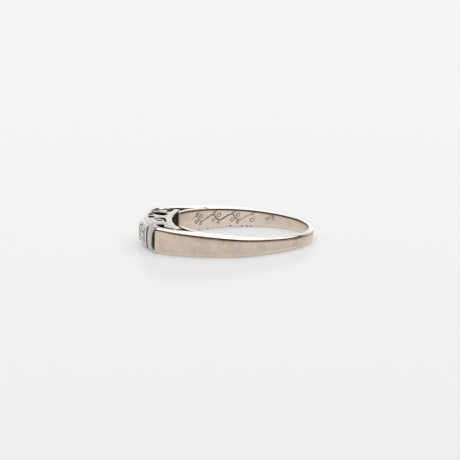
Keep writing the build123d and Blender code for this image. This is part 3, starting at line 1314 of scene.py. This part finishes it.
@dataclass
class HeadPlate:
    """The domed platinum face of the head with its grooves, and the two end bars."""

    blank: BentBlank = field(default_factory=lambda: BentBlank(inner_r=11.5))
    bar: BentBlank = field(default_factory=lambda: BentBlank(inner_r=11.85))
    angle: float = 20.3
    groove_start: float = 18.6
    groove_end: float = 20.2
    groove_half: float = 1.35
    groove_depth: float = 0.25
    edge_round: float = 0.3
    bar_lip: float = 0.05
    opening_width: float = 0.95
    opening_half: float = 1.58
    squares: Sequence[tuple[float, float]] = (
        (-FORM.side_angle, FORM.side_half),
        (0.0, FORM.centre_half),
        (FORM.side_angle, FORM.side_half),
    )

    def build(self) -> None:
        """Makes the plate and both end bars."""
        self._plate()
        for name, flip in (("end_bar_left", 1), ("end_bar_right", -1)):
            self._bar(name, flip)

    def _plate(self) -> bpy.types.Object:
        """Makes the plate with its square openings."""
        blank = self.blank
        bm = blank.sheet(-self.angle, self.angle)
        groove = (self.groove_start, self.groove_end)
        marks = [blank.arc(sign * place) for sign in (-1, 1) for place in groove]
        marks += [blank.arc(angle) + sign * half for angle, half in self.squares for sign in (-1, 1)]
        slice_along(bm, marks, Vector((1, 0, 0)))
        widths = {sign * half for _, half in self.squares for sign in (-1, 1)}
        widths |= {-self.groove_half, self.groove_half}
        slice_along(bm, sorted(widths), Vector((0, 1, 0)))
        gone = [face for face in bm.faces if self._in_square(face.calc_center_median())]
        bmesh.ops.delete(bm, geom=gone, context="FACES")
        blank.thicken(bm)
        self._cut_grooves(bm)
        self._round_long_edges(bm, blank)
        slice_along(bm, [blank.arc(angle) for angle in steps(-20, 20, 40)], Vector((1, 0, 0)))
        slice_along(bm, steps(-1.2, 1.2, 8), Vector((0, 1, 0)))
        blank.bend(bm)
        close_and_orient(bm)
        self._darken_inside(bm)
        finishes = (Finish.PLATINUM, Finish.RECESS)
        return finish_piece("head_plate_domed", bm, finishes, ("head_plate",))

    def _in_square(self, spot: Vector) -> bool:
        """Whether a flat place lies in one of the square openings."""
        return any(
            abs(spot.x - self.blank.arc(angle)) < half and abs(spot.y) < half for angle, half in self.squares
        )

    def _cut_grooves(self, bm: bmesh.types.BMesh) -> None:
        """Sinks the two grooves into the blank's upper face."""
        start, end = self.blank.arc(self.groove_start), self.blank.arc(self.groove_end)
        floor = [
            face
            for face in bm.faces
            if face.normal.z > 0.9
            and start < abs(face.calc_center_median().x) < end
            and abs(face.calc_center_median().y) < self.groove_half
        ]
        made = bmesh.ops.extrude_face_region(bm, geom=floor, use_keep_orig=False)["geom"]
        bmesh.ops.delete(bm, geom=[face for face in floor if face.is_valid], context="FACES_ONLY")
        sunk = [part for part in made if isinstance(part, bmesh.types.BMVert)]
        bmesh.ops.translate(bm, vec=(0, 0, -self.groove_depth), verts=sunk)

    def _round_long_edges(self, bm: bmesh.types.BMesh, blank: BentBlank) -> None:
        """Rounds the two long edges of a blank's outer face.

        Args:
            bm: The flat mesh.
            blank: The blank that it was cut from.
        """
        high, wide = blank.wall - 1e-4, blank.half_width - 1e-4
        rims = [edge for edge in bm.edges if all(v.co.z > high and abs(v.co.y) > wide for v in edge.verts)]
        round_edges(bm, rims, self.edge_round, 8)

    @staticmethod
    def _darken_inside(bm: bmesh.types.BMesh) -> None:
        """Gives the faces that look towards the finger the recess finish, painted shade."""
        bm.normal_update()
        for face in bm.faces:
            centre = face.calc_center_median()
            if face.normal.xy.dot(centre.xy.normalized()) < -0.5:
                face.material_index = 1

    def _bar(self, name: str, flip: int) -> bpy.types.Object:
        """Makes one end bar, hollowed along the lens-shaped opening.

        Args:
            name: The node that it replaces.
            flip: 1 for the +Y bar, -1 for the other.

        Returns:
            The new piece.
        """
        blank = self.bar
        bm = blank.sheet(self.angle, FORM.head_angle)
        blank.thicken(bm)
        self._round_long_edges(bm, blank)
        near = blank.arc(self.angle)
        far = blank.arc(FORM.head_angle)
        slice_along(bm, steps(near, far, 12)[1:-1], Vector((1, 0, 0)))
        slice_along(bm, steps(-1.65, 1.65, 44), Vector((0, 1, 0)))
        bm.normal_update()
        for face in bm.faces:
            # The wall along the lens-shaped opening takes the hollow finish, painted shade.
            face.material_index = 1 if face.normal.x > 0.7 else 0
        for vert in bm.verts:
            share = (vert.co.x - near) / (far - near)
            vert.co.x = near + share * (far - near - self._opening(vert.co.y))
        ends = [e for e in bm.edges if self._is_end_rim(e, near)]
        round_edges(bm, ends, self.bar_lip, 3)
        blank.bend(bm)
        if flip < 0:
            bmesh.ops.scale(bm, vec=(1, -1, 1), verts=bm.verts)
        close_and_orient(bm)
        self._darken_inside(bm)
        return finish_piece(f"{name}_polished", bm, (Finish.PLATINUM, Finish.HOLLOW), (name,))

    def _opening(self, across: float) -> float:
        """The width of the lens-shaped opening at a place across the ring."""
        radius = (self.opening_half**2 + self.opening_width**2) / (2 * self.opening_width)
        if abs(across) >= self.opening_half:
            return 0.0
        return math.sqrt(radius**2 - across**2) - (radius - self.opening_width)

    def _is_end_rim(self, edge: bmesh.types.BMEdge, near: float) -> bool:
        """Whether an edge bounds the outer face of a bar towards the groove."""
        return all(v.co.z > self.bar.wall - 1e-4 and v.co.x < near + 1e-4 for v in edge.verts)


@dataclass
class Setting:
    """One square collet with its corner grains and beaded border."""

    node: str
    angle: float
    half: float
    top_r: float
    stone_r: float
    bottom_r: float = 11.6
    edge: float = 0.06
    sink: float = 0.14
    grain_r: float = 0.15
    grain_gap: float = 0.19
    bead_r: float = 0.07
    bead_sink: float = 0.03
    per_side: int = 12

    def build(self) -> bpy.types.Object:
        """Makes the collet in its own plane and moves it on to the head."""
        bm = self._block()
        self._add_balls(bm)
        matrix = self._plane()
        bmesh.ops.transform(bm, matrix=matrix, verts=bm.verts)
        finishes = (Finish.PLATINUM, Finish.GRAIN)
        return finish_piece(f"{self.node}_beaded", bm, finishes, (self.node,))

    def _plane(self) -> Matrix:
        """The matrix from the setting's own plane to the ring."""
        out = polar(1.0, self.angle)
        along = Vector((0, 0, 1))
        across = out.cross(along)
        turn = Matrix((along, across, out)).transposed().to_4x4()
        return Matrix.Translation(polar(self.top_r, self.angle)) @ turn

    def _block(self) -> bmesh.types.BMesh:
        """The square block with its round, tapered seat."""
        bm = bmesh.new()
        count = 4 * self.per_side
        depth = self.top_r - self.bottom_r
        seat = self.sink + 0.05 * self.stone_r
        levels = (
            (self._square(self.half), -depth),
            (self._square(self.half), -self.edge),
            (self._square(self.half - self.edge), 0.0),
            (self._round(self.stone_r), 0.0),
            (self._round(self.stone_r), -seat),
            (self._round(self.stone_r * 0.5), -depth),
        )
        ring = bmesh.ops.create_circle(bm, segments=count, radius=1.0)["verts"]
        self._shape(ring, *levels[0])
        for level in (*levels[1:], levels[0]):
            made = bmesh.ops.extrude_edge_only(bm, edges=self._edges_of(ring))["geom"]
            ring = [part for part in made if isinstance(part, bmesh.types.BMVert)]
            self._shape(ring, *level)
        close_and_orient(bm)
        return bm

    @staticmethod
    def _shape(ring: Sequence[bmesh.types.BMVert], shape: Walk, height: float) -> None:
        """Moves a ring's points on to a closed shape at a height.

        Args:
            ring: The points.
            shape: A walk round the shape, by the share of the way.
            height: The height above the collet's face.
        """
        for vert in ring:
            spot = shape(math.atan2(vert.co.y, vert.co.x) / (2 * math.pi))
            vert.co = Vector((spot.x, spot.y, height))

    @staticmethod
    def _edges_of(ring: Sequence[bmesh.types.BMVert]) -> list[bmesh.types.BMEdge]:
        """The edges that join the points of a ring."""
        inside = set(ring)
        return [e for e in {edge for v in ring for edge in v.link_edges} if set(e.verts) <= inside]

    @staticmethod
    def _square(half: float) -> Walk:
        """A walk round a square, by the share of the way."""

        def walk(share: float) -> Vector:
            """The point at a share of the way round."""
            turn = 2 * math.pi * share
            ray = Vector((math.cos(turn), math.sin(turn)))
            return ray * (half / max(abs(ray.x), abs(ray.y)))

        return walk

    @staticmethod
    def _round(radius: float) -> Walk:
        """A walk round a circle, by the share of the way."""

        def walk(share: float) -> Vector:
            """The point at a share of the way round."""
            turn = 2 * math.pi * share
            return Vector((math.cos(turn), math.sin(turn))) * radius

        return walk

    def _add_balls(self, bm: bmesh.types.BMesh) -> None:
        """Adds the corner grains and the row of beads along the border."""
        corner = (self.stone_r + self.grain_gap) * math.cos(math.pi / 4)
        for x, y in ((1, 1), (1, -1), (-1, 1), (-1, -1)):
            self._ball(bm, Vector((x * corner, y * corner, 0)), self.grain_r, 3, finish=1)
        reach = self.half - self.bead_r
        count = round(2 * reach / (2 * self.bead_r))
        for index in range(count):
            along = -reach + 2 * reach * index / count
            for turn in range(4):
                spot = Matrix.Rotation(turn * math.pi / 2, 3, "Z") @ Vector((along, reach, -self.bead_sink))
                self._ball(bm, spot, self.bead_r, 2)

    @staticmethod
    def _ball(bm: bmesh.types.BMesh, spot: Vector, radius: float, fineness: int, finish: int = 0) -> None:
        """Adds one bead.

        Args:
            bm: The mesh to add to.
            spot: Its middle.
            radius: Its radius.
            fineness: Its subdivisions.
            finish: The number of its material.
        """
        place = Matrix.Translation(spot)
        ball = bmesh.ops.create_icosphere(bm, subdivisions=fineness, radius=radius, matrix=place)["verts"]
        for face in {face for vert in ball for face in vert.link_faces}:
            face.material_index = finish


@dataclass
class Stones:
    """The three diamonds, which keep the model's own facets."""

    nodes: Sequence[str] = ("diamond_centre", "diamond_left", "diamond_right")

    def build(self) -> None:
        """Dresses the stones."""
        for name in self.nodes:
            stone = bpy.data.objects[name]
            for slot in stone.material_slots:
                slot.material = Finish.DIAMOND.material()
            LOG.info("%s: dressed", name)


# --------------------------------------------------------------- stage and view


@dataclass
class Studio:
    """Pale board, soft lights and the camera."""

    tilt: tuple[float, float, float] = (-0.1515, 1.2233, 1.7274)
    elevation: float = 11.943
    distance: float = 443.4
    sensor: float = 36.0
    focal_share: float = 7.759886
    shift: Point = (-0.0220435, 0.0033043)
    board_size: float = 2.0
    board_gap: float = 0.01
    horizon: Point = (0.02, 0.34)
    room_high: Colour = (0.10, 0.10, 0.10)
    room_low: Colour = (0.85, 0.85, 0.85)

    def build(self) -> None:
        """Sets the stage."""
        self._camera()
        self._board()
        self._lights()

    def _turn(self) -> Matrix:
        """The rotation from the ring's frame to the level room."""
        about_x, about_y, about_z = (math.radians(part) for part in self.tilt)
        turn = Matrix.Rotation(about_x, 3, "X") @ Matrix.Rotation(about_y, 3, "Y")
        return turn @ Matrix.Rotation(about_z, 3, "Z")

    def _camera(self) -> None:
        """Adds the camera."""
        lift = math.radians(self.elevation)
        back = Vector((0, -math.cos(lift), math.sin(lift)))
        right = Vector((1, 0, 0))
        up = back.cross(right)
        axes = Matrix((right, up, back)).transposed()
        to_ring = self._turn().transposed()
        lens_data = bpy.data.cameras.new("camera")
        lens_data.sensor_width = self.sensor
        lens_data.lens = self.sensor * self.focal_share
        lens_data.shift_x, lens_data.shift_y = self.shift
        lens_data.clip_start = 0.01
        camera = bpy.data.objects.new("camera", lens_data)
        place = to_ring @ (back * self.distance * MM)
        camera.matrix_world = Matrix.Translation(place) @ (to_ring @ axes).to_4x4()
        bpy.context.scene.collection.objects.link(camera)
        bpy.context.scene.camera = camera

    def _board(self) -> None:
        """Adds the pale board, level with the ring's lower side."""
        bm = bmesh.new()
        bmesh.ops.create_grid(bm, x_segments=1, y_segments=1, size=self.board_size)
        lean = Matrix.Rotation(-math.atan(FORM.width_slope), 4, "Y")
        bmesh.ops.transform(bm, matrix=lean, verts=bm.verts)
        drop = -(FORM.half_width + self.board_gap) * MM
        bmesh.ops.translate(bm, vec=(0, 0, drop), verts=bm.verts)
        mesh = bpy.data.meshes.new("board")
        bm.to_mesh(mesh)
        bm.free()
        mesh.materials.append(Finish.BOARD.material())
        board = bpy.data.objects.new("board", mesh)
        bpy.context.scene.collection.objects.link(board)

    def _lights(self) -> None:
        """Adds the overhead and back lights and the room's glow."""
        self._area("overhead", (0.0, 0.08, 0.8), (2.2, 1.1), 1.56)
        self._area("back", (0.0, 1.2, 0.4), (3.0, 1.0), 0.80)
        world = bpy.data.worlds.new("room")
        tree = FinishTree(world)
        _, _, height = tree.axes(tree.node("ShaderNodeTexCoord").outputs["Generated"])
        walls = tree.blend(height.step(*self.horizon), rgba(self.room_low), rgba(self.room_high))
        glow = tree.node("ShaderNodeBackground", feeds={"Color": walls})
        tree.node("ShaderNodeOutputWorld", feeds={"Surface": glow.outputs[0]})
        bpy.context.scene.world = world
        bpy.context.scene.view_settings.view_transform = "Standard"

    @staticmethod
    def _area(name: str, place: tuple[float, float, float], size: Point, glow: float) -> None:
        """Adds a rectangular light that looks at the ring.

        Args:
            name: The light's name.
            place: Where it stands, in metres.
            size: Its width and height.
            glow: The brightness of its face.
        """
        lamp = bpy.data.lights.new(name, "AREA")
        lamp.shape = "RECTANGLE"
        lamp.size, lamp.size_y = size
        lamp.energy = glow * math.pi * size[0] * size[1]
        light = bpy.data.objects.new(name, lamp)
        light.location = place
        light.rotation_euler = (-Vector(place)).to_track_quat("-Z", "Y").to_euler()
        bpy.context.scene.collection.objects.link(light)


def main() -> None:
    """Builds the ring and its stage in order."""
    logging.basicConfig(level=logging.INFO, format="%(name)s %(message)s")
    Studio().build()
    Shank().build()
    Engraving().build()
    FingerRails().build()
    Galleries().build()
    HeadPlate().build()
    for setting in (
        Setting("collet_centre", 0.0, FORM.centre_half, top_r=12.47, stone_r=0.93),
        Setting("collet_left", FORM.side_angle, FORM.side_half, top_r=12.38, stone_r=0.78),
        Setting("collet_right", -FORM.side_angle, FORM.side_half, top_r=12.38, stone_r=0.78),
    ):
        setting.build()
    Stones().build()


if __name__ == "__main__":
    main()
